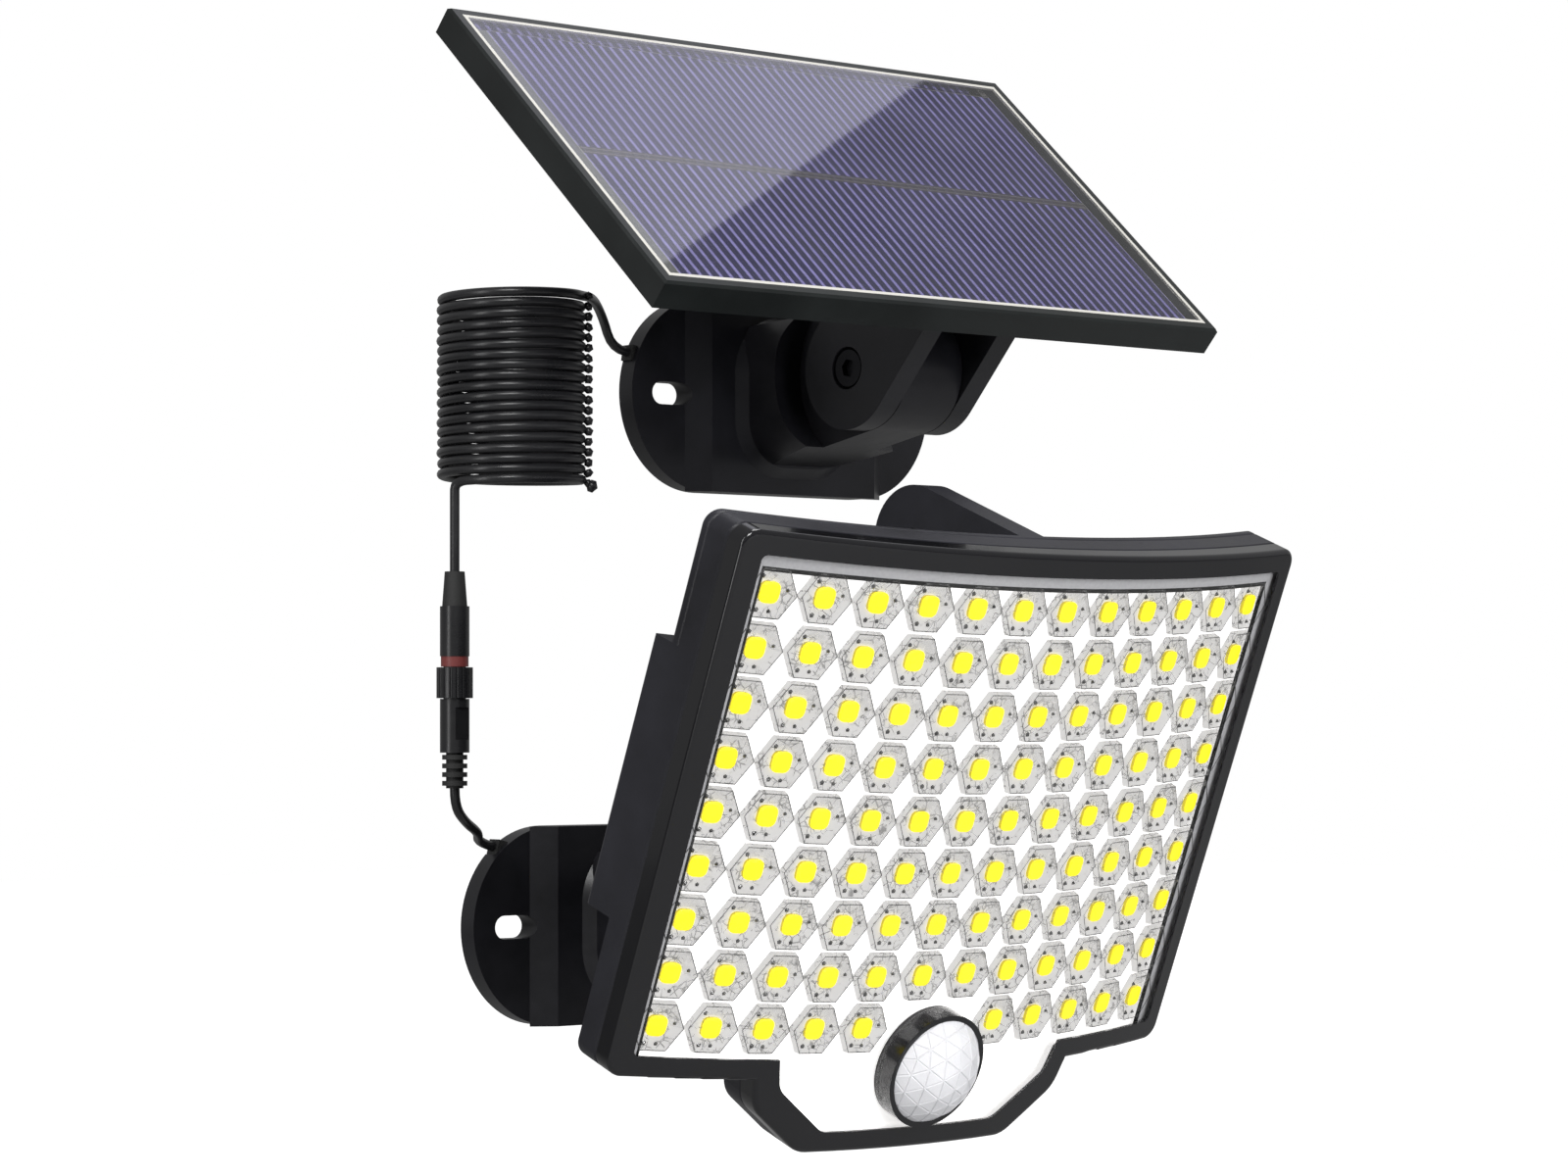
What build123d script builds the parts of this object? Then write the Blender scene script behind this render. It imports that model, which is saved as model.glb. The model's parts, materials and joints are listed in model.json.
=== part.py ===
from build123d import *
from math import asin, cos, degrees, pi, radians, sin, sqrt, tan

# Solar flood light in two units: a tilting panel and a tilting lamp, each on its own wall
# bracket, joined by a coiled cable. Millimetres. The origin is the middle of the lamp
# bracket's two wall slots, on the wall. +Z is up, -Y points away from the wall.

# ---------------------------------------------------------------- driving dimensions
# wall brackets
plate_length = 100.0
plate_height = 48.0
plate_thickness = 5.0
slot_spacing = 75.0
slot_length = 12.0
slot_width = 5.6
block_rise = 4.0
block_top_length = 55.0
block_base_length = 66.0
pocket_length = 44.0
pocket_height = 34.0
pocket_depth = 5.0
post_shoulder = 8.5
knuckle_radius = 15.0
post_corner = 12.0
post_foot = 2.5
hinge_reach = 45.0
hinge_rise = 5.0
tongue_width = 18.0
ear_recess_radius = 24.0
ear_thickness = 6.2
ear_gap = 0.3
ear_radius = 15.0
cable_channel = 3.8
grommet_length = 4.0
# hinge bolts
bolt_diameter = 5.0
bolt_fit = 0.05
bolt_head_diameter = 9.0
bolt_head_height = 2.6
bolt_recess_diameter = 10.4
bolt_recess_depth = 3.6
nut_flats = 8.0
nut_height = 3.0
washer_thickness = 0.6
washer_rim = 0.4
hex_socket = (4.0, 1.6)
# where the two brackets and the two tilting units sit
panel_bracket_x = 49.0
panel_bracket_z = 130.0
panel_tilt = 41.8
panel_centre = (19.0, -60.0, 179.7)
lamp_tilt = 21.5
lamp_centre = (0.0, -123.5, 26.3)
# panel unit
panel_length = 178.0
panel_width = 104.0
panel_thickness = 7.2
panel_rim = 3.6
glass_thickness = 1.6
cell_thickness = 0.5
cell_margin = 2.2
tray_floor = 2.0
yoke_base_thickness = 3.0
yoke_base_edge = 3.8
yoke_base_width = 40.0
yoke_screw_gap = 0.9
yoke_screw_y = 15.0
screw_diameter = 3.0
screw_head_diameter = 5.6
screw_head_height = 1.6
screw_cross = (3.2, 0.8)
screw_boss_radius = 3.2
tray_chamfer = 0.6
cavity_margin = 3.0
junction_size = (46.0, 34.0, 9.0)
junction_offset = (-40.0, 0.0)
junction_wall = 1.6
junction_lid = 1.6
# lamp unit, a slab curved about an axis behind it
lamp_radius = 340.0
lamp_half_width = 86.0
lamp_top = 66.0
lamp_bottom = -59.5
corner_radius = 4.0
bezel_round = 1.2
seam_chamfer = 0.4
box_round = 1.2
chin_bottom = -77.5
chin_top_half = 49.0
chin_low_half = 32.0
bezel_front = 6.2
bezel_back = 1.2
housing_back = -4.8
box_back = -8.0
box_deep_back = -13.5
box_step_top = 35.5
box_bottom = -27.0
rim_width = 5.2
side_wall = 2.0
cover_front = 5.6
cover_thickness = 0.8
board_front = 2.8
board_thickness = 1.6
led_columns = 12
led_rows = 9
led_margin_side = 11.2
led_margin_top = 14.0
led_margin_low = 11.5
led_size = 4.6
led_height = 0.7
lens_sheet_back = 3.6
lens_sheet_thickness = 0.8
gasket_thickness = 0.6
pir_drop = 2.5
pir_radius = 12.6
pir_ring_radius = 14.0
pir_ring_depth = 3.0
pir_wall = 1.0
pir_dome_radius = 15.0
pir_skirt = 3.0
can_radius = 4.6
can_height = 3.2
can_foot_radius = 5.2
can_foot = 0.6
lug_radius = 12.4
lug_thickness = 7.6
lug_centre = (-39.0, 53.6)
lug_bore_radius = 2.6
pad_edge = 1.0
hollow_wall = 2.2
hollow_side = 8.0
screw_wall = 1.6
opening_margin = 9.0
pad_rise = 4.0
battery_size = (44.0, 8.0, 46.0)
battery_depth = 10.4
strap_size = (3.0, 1.0, 12.0)
circuit_size = (46.0, 1.6, 46.0)
switch_size = (6.2, 3.0, 6.2)
switch_gap = 1.2
inside_edge = 34.0
inside_z = 6.0
cover_screw_edge = 4.0
cover_screw_rows = (60.0, 16.0, -22.0)
button_radius = 4.0
button_gap = 0.3
button_proud = 1.2
button_length = 5.0
# cable and its connector
cord_diameter = 2.3
coil_radius = 17.8
coil_height = 46.0
coil_centre = (-54.4, -25.0, 126.4)
connector_top = 83.7
relief_length = 8.0
socket_length = 11.5
seal_length = 2.4
nut_length = 7.4
plug_length = 12.4
lower_relief_length = 8.2
nut_turn_fit = 0.08
connector_radius = 3.4
relief_neck = 2.3
nut_end_gap = 0.15
nut_groove = 0.35
nut_grooves = 18
plug_flat = 0.6
relief_core = 2.0
relief_rib = (2.9, 1.1, 2.0)
relief_ribs = 4
tie_width = 2.6
tie_thickness = 1.0
tie_knob = 1.6
pin_radius = 2.6
nut_radius = 4.2

# ---------------------------------------------------------------- placed frames
half_tongue = tongue_width / 2
ear_inner = half_tongue + ear_gap
ear_outer = ear_inner + ear_thickness
block_front = plate_thickness + block_rise
lobe_x = plate_length / 2 - plate_height / 2
post_root_radius = half_tongue + post_shoulder
yoke_screw_x = ear_outer + screw_head_diameter / 2 + yoke_screw_gap
yoke_base_length = 2 * (yoke_screw_x + yoke_base_edge)
pad_half_width = yoke_base_length / 2 + pad_edge
pad_back = box_deep_back - pad_rise
inside_x = lamp_half_width - inside_edge
cover_screw_x = lamp_half_width - cover_screw_edge
led_pitch_x = 2 * (lamp_half_width - led_margin_side) / (led_columns - 1)
led_pitch_z = (lamp_top - lamp_bottom - led_margin_top - led_margin_low) / (led_rows - 1)
led_grid_z = (lamp_top - led_margin_top + lamp_bottom + led_margin_low) / 2
pir_z = lamp_bottom + pir_drop
panel_hinge = (panel_bracket_x, -hinge_reach, panel_bracket_z + hinge_rise)
lamp_hinge = (0.0, -hinge_reach, hinge_rise)
# panel frame: Z leaves the glass, Y runs up the slope; lamp frame: -Y leaves the lens, Z runs up it
panel_frame = Pos(*panel_centre) * Rot(panel_tilt, 0, 0)
lamp_frame = Pos(*lamp_centre) * Rot(lamp_tilt, 0, 0)


def into_frame(point, centre, tilt):
    """A world point as (x, y, z) in a frame tilted about X at centre."""
    dx, dy, dz = (point[i] - centre[i] for i in range(3))
    c, s = cos(radians(tilt)), sin(radians(tilt))
    return (dx, dy * c + dz * s, dz * c - dy * s)


def save(name, shape):
    shape.label = name
    export_step(shape, f"parts/{name}.step")


def rod(radius, length, along="z"):
    """A cylinder that starts at the origin and runs along one axis."""
    turn = {"z": Rot(0, 0, 0), "x": Rot(0, 90, 0), "-y": Rot(90, 0, 0)}[along]
    return turn * Cylinder(radius, length, align=(Align.CENTER, Align.CENTER, Align.MIN))


def ring(outer, inner, length, along="z"):
    return rod(outer, length, along) - rod(inner, length, along)


def hexagon(flats, length, along="x"):
    turn = {"z": Rot(0, 0, 0), "x": Rot(0, 90, 0), "-y": Rot(90, 0, 0)}[along]
    return turn * extrude(RegularPolygon(flats / 2, 6, major_radius=False), length)


def group(shapes):
    return Compound(children=list(shapes))


def front_face(sketch, depth):
    """A sketch drawn in x and z, pushed away from the wall by depth."""
    return extrude(Rot(90, 0, 0) * sketch, depth, dir=(0, -1, 0))


# ---------------------------------------------------------------- wall bracket
def rim_point(angle):
    """The point of the plate's rim at this angle round its left lobe."""
    r = plate_height / 2
    return (-lobe_x + r * cos(radians(angle)), r * sin(radians(angle)))


def wall_bracket(cable_angle, channel_slope):
    """Plate, raised block, tapering post and tongue in one moulding, about its own centre."""
    plate = front_face(SlotOverall(plate_length, plate_height), plate_thickness)
    base = Polyline(
        (-block_base_length / 2, -plate_thickness), (block_base_length / 2, -plate_thickness),
        (block_top_length / 2, -block_front), (-block_top_length / 2, -block_front), close=True,
    )
    block = Pos(0, 0, -plate_height / 2) * extrude(make_face(base), plate_height, dir=(0, 0, 1))
    root_y = -block_front + 1
    knuckle = Pos(-hinge_reach, hinge_rise) * Circle(knuckle_radius)
    side_view = make_hull(knuckle.edges() + [Line((root_y, -post_root_radius), (root_y, post_root_radius))])
    post = Pos(-post_root_radius, 0, 0) * extrude(Plane.YZ * side_view, 2 * post_root_radius, dir=(1, 0, 0))
    column_view = Pos(0, hinge_rise / 2) * RectangleRounded(
        2 * post_root_radius, 2 * post_root_radius + hinge_rise, post_corner)
    post = post & front_face(column_view, hinge_reach + knuckle_radius + 1)
    body = plate + block + post
    collar_half = post_root_radius + post_foot
    collar = Plane.XZ.offset(block_front) * RectangleRounded(
        2 * collar_half, 2 * collar_half, post_corner + post_foot)
    body += extrude(collar, post_foot, dir=(0, -1, 0), taper=45)
    for side in (-1, 1):
        body -= Pos(side * slot_spacing / 2, 0, 0) * front_face(
            SlotOverall(slot_length, slot_width), block_front)
        start = half_tongue if side > 0 else -half_tongue - 40
        body -= Pos(start, -hinge_reach, hinge_rise) * rod(ear_recess_radius, 40, "x")
        body -= Pos(start, -hinge_reach - 30, hinge_rise) * Box(
            40, 60, 60, align=(Align.MIN, Align.CENTER, Align.CENTER))
    body -= Pos(-half_tongue, -hinge_reach, hinge_rise) * rod(
        bolt_diameter / 2 + bolt_fit, tongue_width, "x")
    body -= front_face(RectangleRounded(pocket_length, pocket_height, 6), pocket_depth)
    x, z = rim_point(cable_angle)
    run = (-x - pocket_length / 2) / cos(radians(channel_slope)) + 3
    channel = Box(run + 6, cable_channel, cable_channel, align=(Align.MIN, Align.MAX, Align.CENTER))
    return body - Pos(x, 0, z) * Rot(0, channel_slope, 0) * Pos(-6, 0, 0) * channel


def cable_grommet(cable_angle, channel_slope):
    """A rubber block that fills the mouth of the cable channel."""
    x, z = rim_point(cable_angle)
    block = Box(grommet_length, cable_channel, cable_channel,
                align=(Align.MIN, Align.MAX, Align.CENTER))
    return Pos(x, 0, z) * Rot(0, channel_slope, 0) * Pos(-1.0, 0, 0) * block


def cable_exit(centre_x, centre_z, cable_angle, channel_slope):
    """Middle of the grommet's outer face, and the direction in which the cable leaves it."""
    x, z = rim_point(cable_angle)
    c, s = cos(radians(channel_slope)), sin(radians(channel_slope))
    out = Vector(-c, 0, s)
    return Vector(centre_x + x, -cable_channel / 2, centre_z + z) + out * 1.0, out


panel_cable = (157.0, 10.0)
lamp_cable = (128.0, 15.0)
panel_place = Pos(panel_bracket_x, 0, panel_bracket_z)
save("panel_wall_bracket", panel_place * wall_bracket(*panel_cable))
save("panel_cable_grommet", panel_place * cable_grommet(*panel_cable))
save("lamp_wall_bracket", wall_bracket(*lamp_cable))
save("lamp_cable_grommet", cable_grommet(*lamp_cable))


# ---------------------------------------------------------------- yokes and hinge bolts
def ear_profile(hinge_y, hinge_z, start, end):
    """Ear side view in y and z: the hull of a base line and a round end on the hinge."""
    round_end = Pos(hinge_y, hinge_z) * Circle(ear_radius)
    return make_hull(round_end.edges() + [Line(start, end)])


def yoke(profile, hinge_y, hinge_z, base):
    """Two ears on a base plate; the left ear hides the bolt head, the right one the nut."""
    ears = []
    turned = Plane.YZ * profile
    for start in (-ear_outer, ear_inner):
        ears.append(Pos(start, 0, 0) * extrude(turned, ear_thickness, dir=(1, 0, 0)))
    body = base + ears[0] + ears[1]
    place = Pos(-ear_outer, hinge_y, hinge_z)
    body -= place * rod(bolt_diameter / 2 + bolt_fit, 2 * ear_outer, "x")
    body -= place * rod(bolt_recess_diameter / 2, bolt_recess_depth, "x")
    return body - Pos(ear_outer - bolt_recess_depth, hinge_y, hinge_z) * hexagon(
        nut_flats + 0.2, bolt_recess_depth)


seat = -ear_outer + bolt_recess_depth
head_seat = seat - washer_thickness


def hinge_bolt():
    head = Pos(head_seat - bolt_head_height, 0, 0) * rod(bolt_head_diameter / 2, bolt_head_height, "x")
    head = head - Pos(head_seat - bolt_head_height, 0, 0) * hexagon(*hex_socket)
    return head + Pos(head_seat, 0, 0) * rod(bolt_diameter / 2, -head_seat + ear_outer - 0.2, "x")


def hinge_nut():
    body = hexagon(nut_flats, nut_height) - rod(bolt_diameter / 2 + bolt_fit, nut_height, "x")
    return Pos(-seat, 0, 0) * body


def hinge_washer():
    return Pos(head_seat, 0, 0) * ring(
        bolt_head_diameter / 2 + washer_rim, bolt_diameter / 2 + bolt_fit, washer_thickness, "x")


def yoke_screw(length):
    """A screw along -Z: its head stands on z = 0."""
    head = rod(screw_head_diameter / 2, screw_head_height)
    head = head - Pos(0, 0, screw_head_height) * (
        Box(*screw_cross, 2 * screw_cross[1]) + Box(*reversed(screw_cross), 2 * screw_cross[1]))
    return head + Pos(0, 0, -length) * rod(screw_diameter / 2, length)


for unit, hinge, tilt in (("panel", panel_hinge, panel_tilt), ("lamp", lamp_hinge, lamp_tilt)):
    save(f"{unit}_hinge_bolt", Pos(*hinge) * Rot(tilt, 0, 0) * hinge_bolt())
    save(f"{unit}_hinge_nut", Pos(*hinge) * Rot(tilt, 0, 0) * hinge_nut())
    save(f"{unit}_hinge_washer", Pos(*hinge) * Rot(tilt, 0, 0) * hinge_washer())

screw_bore = screw_diameter / 2 + bolt_fit
screw_spots = [(x, y) for x in (-yoke_screw_x, yoke_screw_x) for y in (-yoke_screw_y, yoke_screw_y)]

# panel yoke, hanging from the underside of the tray
ph_x, ph_y, ph_z = into_frame(panel_hinge, panel_centre, panel_tilt)
under = -panel_thickness
yoke_y = ph_y
base_plate = Pos(0, yoke_y, under) * Box(
    yoke_base_length, yoke_base_width, yoke_base_thickness,
    align=(Align.CENTER, Align.CENTER, Align.MAX))
screw_seat = under - yoke_base_thickness
for x, y in screw_spots:
    base_plate -= Pos(x, yoke_y + y, screw_seat) * rod(screw_bore, yoke_base_thickness)
panel_ears = ear_profile(ph_y, ph_z, (yoke_y - ear_radius, screw_seat + 0.5),
                         (yoke_y + ear_radius, screw_seat + 0.5))
save("panel_yoke", panel_frame * Pos(ph_x, 0, 0) * yoke(panel_ears, ph_y, ph_z, base_plate))
panel_screws = [
    Pos(ph_x + x, yoke_y + y, screw_seat) * Rot(180, 0, 0) * yoke_screw(yoke_base_thickness + 1.6)
    for x, y in screw_spots]
save("panel_yoke_screws", panel_frame * group(panel_screws))

# ---------------------------------------------------------------- solar panel
tray = Box(panel_length, panel_width, panel_thickness, align=(Align.CENTER, Align.CENTER, Align.MAX))
tray = chamfer(tray.edges().group_by(Axis.Z)[-1], tray_chamfer)
glass_length = panel_length - 2 * panel_rim
glass_width = panel_width - 2 * panel_rim
stack = glass_thickness + cell_thickness
tray -= Box(glass_length, glass_width, stack, align=(Align.CENTER, Align.CENTER, Align.MAX))
cavity_depth = panel_thickness - stack - tray_floor
cavity_length = glass_length - 2 * cavity_margin
cavity_width = glass_width - 2 * cavity_margin
tray -= Pos(0, 0, -stack) * Box(cavity_length, cavity_width, cavity_depth,
                                align=(Align.CENTER, Align.CENTER, Align.MAX))
for x, y in screw_spots:
    spot = Pos(ph_x + x, yoke_y + y, under)
    tray += spot * rod(screw_boss_radius, tray_floor + cavity_depth - 0.2)
    tray -= spot * rod(screw_bore, tray_floor + 2)
save("panel_frame", panel_frame * tray)
glass = Box(glass_length, glass_width, glass_thickness, align=(Align.CENTER, Align.CENTER, Align.MAX))
save("panel_glass", panel_frame * glass)
cells = Pos(0, 0, -glass_thickness) * Box(
    glass_length - 2 * cell_margin, glass_width - 2 * cell_margin, cell_thickness,
    align=(Align.CENTER, Align.CENTER, Align.MAX))
save("solar_cells", panel_frame * cells)
jx, jy, jz = junction_size
shell = Box(jx, jy, jz - junction_lid, align=(Align.CENTER, Align.CENTER, Align.MAX))
shell -= Box(jx - 2 * junction_wall, jy - 2 * junction_wall, jz - junction_lid,
             align=(Align.CENTER, Align.CENTER, Align.MAX))
lid = Pos(0, 0, -jz + junction_lid) * Box(jx, jy, junction_lid,
                                          align=(Align.CENTER, Align.CENTER, Align.MAX))
junction_spot = panel_frame * Pos(junction_offset[0], junction_offset[1], under)
save("junction_box", junction_spot * shell)
save("junction_box_lid", junction_spot * chamfer(lid.edges().group_by(Axis.Z)[0], tray_chamfer))


# ---------------------------------------------------------------- lamp: curved slabs
def depth_at(offset, x):
    """y of the curved layer at this offset in front of the board, at this x."""
    return lamp_radius - sqrt((lamp_radius + offset) ** 2 - x ** 2)


def band(half_width, back, front):
    """Plan view of a curved layer between two offsets."""
    h = half_width
    outer = ThreePointArc((-h, depth_at(front, h)), (0, -front), (h, depth_at(front, h)))
    inner = ThreePointArc((-h, depth_at(back, h)), (0, -back), (h, depth_at(back, h)))
    return make_face([outer, Line(outer @ 1, inner @ 1), inner, Line(outer @ 0, inner @ 0)])


def layer(back, front, half_width=lamp_half_width + 6, low=-100.0, high=100.0):
    return extrude(Pos(0, 0, low) * band(half_width, back, front), high - low, dir=(0, 0, 1))


def outline(inset):
    """The lamp's front outline in x and z: a rounded rectangle with a chin below it."""
    w, t, b, c = lamp_half_width - inset, lamp_top - inset, lamp_bottom + inset, chin_bottom + inset
    top_half, low_half = chin_top_half - inset, chin_low_half - inset
    chin_side = top_half - 2.0
    points = [(-w, t), (w, t), (w, b), (top_half, b), (chin_side, b - 0.4 * (b - c)),
              (low_half, c), (-low_half, c), (-chin_side, b - 0.4 * (b - c)), (-top_half, b), (-w, b)]
    face = make_face(Polyline(*points, close=True))
    corners = face.vertices()
    face = fillet(corners.filter_by(lambda v: abs(v.X) > w - 1), max(corner_radius - inset / 2, 1.0))
    low = face.vertices().filter_by(lambda v: v.Y < b - 1)
    return fillet(low, 8.0 - min(inset, 6) / 2) if low else face


def column(inset):
    """The outline pushed right through the lamp."""
    return Pos(0, 60, 0) * extrude(Rot(90, 0, 0) * outline(inset), 120, dir=(0, -1, 0))


def curved_faces(shape):
    """The faces that follow the lamp's curve, front one first."""
    return shape.faces().filter_by(GeomType.CYLINDER).sort_by(Axis.Y)


# front bezel: a black rim round the clear cover
bezel = layer(bezel_back, bezel_front) & column(0)
bezel = fillet(bezel.faces().sort_by(Axis.Y)[0].edges(), bezel_round)
bezel = chamfer(curved_faces(bezel)[-1].edges(), seam_chamfer)
bezel -= layer(bezel_back - 1, cover_front) & column(side_wall)
bezel -= layer(cover_front - 0.5, bezel_front + 1) & column(rim_width)
save("bezel", lamp_frame * bezel)
cover = layer(cover_front - cover_thickness, cover_front) & column(side_wall)
pir_hole = Pos(0, 10, pir_z) * rod(pir_ring_radius, 40, "-y")
save("clear_cover", lamp_frame * (cover - pir_hole))
housing = layer(housing_back, bezel_back) & column(0)
housing = chamfer(curved_faces(housing)[0].edges(), seam_chamfer)
board_back = board_front - board_thickness
opening = Pos(0, 0, (lamp_top + box_bottom) / 2) * Box(
    2 * (lamp_half_width - opening_margin), 80, lamp_top - box_bottom - 2 * (opening_margin - 1))
housing -= layer(housing_back - 1, bezel_back + 1) & opening
gasket_line = layer(bezel_back - gasket_thickness, bezel_back)
gasket_room = column(0.8) - column(side_wall)
housing -= gasket_line & gasket_room
save("cover_gasket", lamp_frame * (gasket_line & gasket_room))
board = layer(board_back, board_front) & column(side_wall + 0.3)
save("led_board", lamp_frame * board)
lens = layer(lens_sheet_back, lens_sheet_back + lens_sheet_thickness) & column(side_wall + 0.3)
save("lens_array", lamp_frame * (lens - pir_hole))


def on_arc(x, z, offset):
    """A place on the curved board, turned to face straight out of it."""
    angle = asin(x / lamp_radius)
    return Pos(x, depth_at(0, x), z) * Rot(0, 0, degrees(angle)) * Pos(0, -offset, 0)


leds = []
for row in range(led_rows):
    for column_index in range(led_columns):
        missing = row == led_rows - 1 and column_index in (5, 6)
        if missing:
            continue
        arc = (column_index - (led_columns - 1) / 2) * led_pitch_x
        x = lamp_radius * sin(arc / lamp_radius)
        z = led_grid_z + ((led_rows - 1) / 2 - row) * led_pitch_z
        chip = Box(led_size, led_height, led_size, align=(Align.CENTER, Align.MAX, Align.CENTER))
        leds.append(on_arc(x, z, board_front) * chip)
save("leds", lamp_frame * group(leds))

# motion sensor behind its dome
ring_front = -bezel_front - pir_ring_depth
ring_back = -lens_sheet_back
save("pir_ring", lamp_frame * Pos(0, ring_back, pir_z) * ring(
    pir_ring_radius - 0.1, pir_radius, ring_back - ring_front, "-y"))
skirt_back = ring_front + pir_skirt
dome_middle = ring_front + sqrt(pir_dome_radius ** 2 - pir_radius ** 2)


def dome_solid(radius, edge):
    ball = Pos(0, dome_middle, pir_z) * Sphere(radius)
    return ball & Pos(0, skirt_back, pir_z) * rod(edge, 30, "-y")


save("pir_dome", lamp_frame * (dome_solid(pir_dome_radius, pir_radius - 0.05)
                               - dome_solid(pir_dome_radius - pir_wall, pir_radius - pir_wall)))
can = rod(can_radius, can_height, "-y") + rod(can_foot_radius, can_foot, "-y")
save("pir_sensor", lamp_frame * Pos(0, -board_front, pir_z) * can)

# ---------------------------------------------------------------- lamp: rear cover
box_slab = layer(box_back, housing_back, lamp_half_width, box_bottom, lamp_top)
deep_slab = layer(box_deep_back, housing_back, lamp_half_width, box_bottom, box_step_top)
pad = Pos(0, -housing_back, (box_bottom + box_step_top) / 2) * Box(
    2 * pad_half_width, -pad_back + housing_back, box_step_top - box_bottom,
    align=(Align.CENTER, Align.MIN, Align.CENTER))
pad -= layer(housing_back, 30)
box_slab = box_slab & column(0)
box_slab = fillet(curved_faces(box_slab)[-1].edges(), box_round)
deep_slab = deep_slab & column(0)
deep_slab = fillet(curved_faces(deep_slab)[-1].edges(), box_round)
rear = box_slab + deep_slab + pad
hollow_half = lamp_half_width - hollow_side
hollow = layer(box_back + hollow_wall, housing_back + 5, hollow_half, box_bottom + 5, lamp_top - 8)
hollow += layer(box_deep_back + hollow_wall, housing_back + 5, hollow_half, box_bottom + 5,
                box_step_top - 3)
lug_y, lug_z = -lug_centre[0], lug_centre[1]
lug_face = Pos(lug_y, lug_z) * Circle(lug_radius)
lug_face += make_face(Polyline(
    (-box_back - 3, lug_z + lug_radius), (lug_y, lug_z + lug_radius), (lug_y + lug_radius, lug_z),
    (lug_y + lug_radius - 4, lug_z - 14), (-box_back - 3, lug_z - 40), close=True))
lug = Pos(-lug_thickness / 2, 0, 0) * extrude(Plane.YZ * lug_face, lug_thickness, dir=(1, 0, 0))
lug -= layer(box_back + 1.5, 30)
rear = rear + lug - hollow
rear -= Pos(-lug_thickness / 2, lug_y, lug_z) * rod(lug_bore_radius, lug_thickness, "x")

# lamp yoke screws into the pad
lh_x, lh_y, lh_z = into_frame(lamp_hinge, lamp_centre, lamp_tilt)
pad_y = -pad_back
yoke_z = box_bottom + yoke_base_width / 2 + 1
lamp_base = Pos(0, pad_y, yoke_z) * Box(yoke_base_length, yoke_base_thickness, yoke_base_width,
                                        align=(Align.CENTER, Align.MIN, Align.CENTER))
lamp_screws = []
for x, z in screw_spots:
    axis = Pos(x, pad_y + yoke_base_thickness, yoke_z + z) * Rot(-90, 0, 0)
    lamp_base -= axis * Pos(0, 0, -yoke_base_thickness) * rod(screw_bore, yoke_base_thickness)
    rear -= axis * Pos(0, 0, -yoke_base_thickness - 4) * rod(screw_bore, 4)
    lamp_screws.append(axis * yoke_screw(yoke_base_thickness + 3.6))
save("lamp_yoke_screws", lamp_frame * group(lamp_screws))
base_y = pad_y + yoke_base_thickness - 0.5
lamp_ears = ear_profile(lh_y, lh_z, (base_y, yoke_z - ear_radius), (base_y, yoke_z + ear_radius))
save("lamp_yoke", lamp_frame * yoke(lamp_ears, lh_y, lh_z, lamp_base))

# sealing ring and screws between the rear cover and the front housing
seal_middle = (lamp_top + box_bottom) / 2
seal_height = lamp_top - box_bottom
seal_outer = Pos(0, 0, seal_middle) * Box(2 * lamp_half_width - 14, 80, seal_height - 7)
seal_inner = Pos(0, 0, seal_middle) * Box(2 * hollow_half + 1, 80, seal_height - 10)
rear_gasket = layer(housing_back - gasket_thickness, housing_back) & (seal_outer - seal_inner)
rear -= rear_gasket
save("rear_gasket", lamp_frame * rear_gasket)
cover_screws = []
for x in (-cover_screw_x, cover_screw_x):
    for z in cover_screw_rows:
        seam = depth_at(housing_back, cover_screw_x)
        axis = Pos(x, seam + screw_wall, z) * Rot(-90, 0, 0)
        rear -= axis * rod(screw_head_diameter / 2 + 0.3, 20)
        rear -= axis * Pos(0, 0, -screw_wall - 2) * rod(screw_bore, screw_wall + 2)
        housing -= axis * Pos(0, 0, -screw_wall - 3) * rod(screw_bore, 6)
        cover_screws.append(axis * yoke_screw(screw_wall + 2.6))
save("rear_cover_screws", lamp_frame * group(cover_screws))

# mode button, pressed towards the lens through the lower right of the rear cover
button_back = depth_at(box_deep_back, inside_x)
button_place = Pos(inside_x, button_back, inside_z)
rear -= button_place * Pos(0, 1, 0) * rod(button_radius + button_gap, 9, "-y")
stem = Pos(0, button_proud, 0) * rod(button_radius, button_length, "-y")
save("mode_button", lamp_frame * button_place * stem)

# battery and control board lie in the rear cover, each flat against the curved board's back
pack = Box(battery_size[0], battery_size[1], battery_size[2], align=(Align.CENTER, Align.MAX, Align.CENTER))
save("battery_pack", lamp_frame * on_arc(-inside_x, inside_z, 0) * Pos(0, battery_depth, 0) * pack)
strap = Box(battery_size[0] + strap_size[0], strap_size[1], strap_size[2], align=(Align.CENTER, Align.MAX, Align.CENTER))
save("battery_strap", lamp_frame * on_arc(-inside_x, inside_z, 0)
     * Pos(0, battery_depth - battery_size[1], 0) * strap)
board_depth = -box_deep_back - (button_length - button_proud) - switch_gap - switch_size[1]
circuit = Box(*circuit_size, align=(Align.CENTER, Align.MAX, Align.CENTER))
save("control_board", lamp_frame * on_arc(inside_x, inside_z, 0) * Pos(0, board_depth, 0) * circuit)
save("tact_switch", lamp_frame * on_arc(inside_x, inside_z, 0) * Pos(0, board_depth, 0)
     * Box(*switch_size, align=(Align.CENTER, Align.MIN, Align.CENTER)))
save("rear_cover", lamp_frame * rear)
save("front_housing", lamp_frame * housing)

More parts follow.
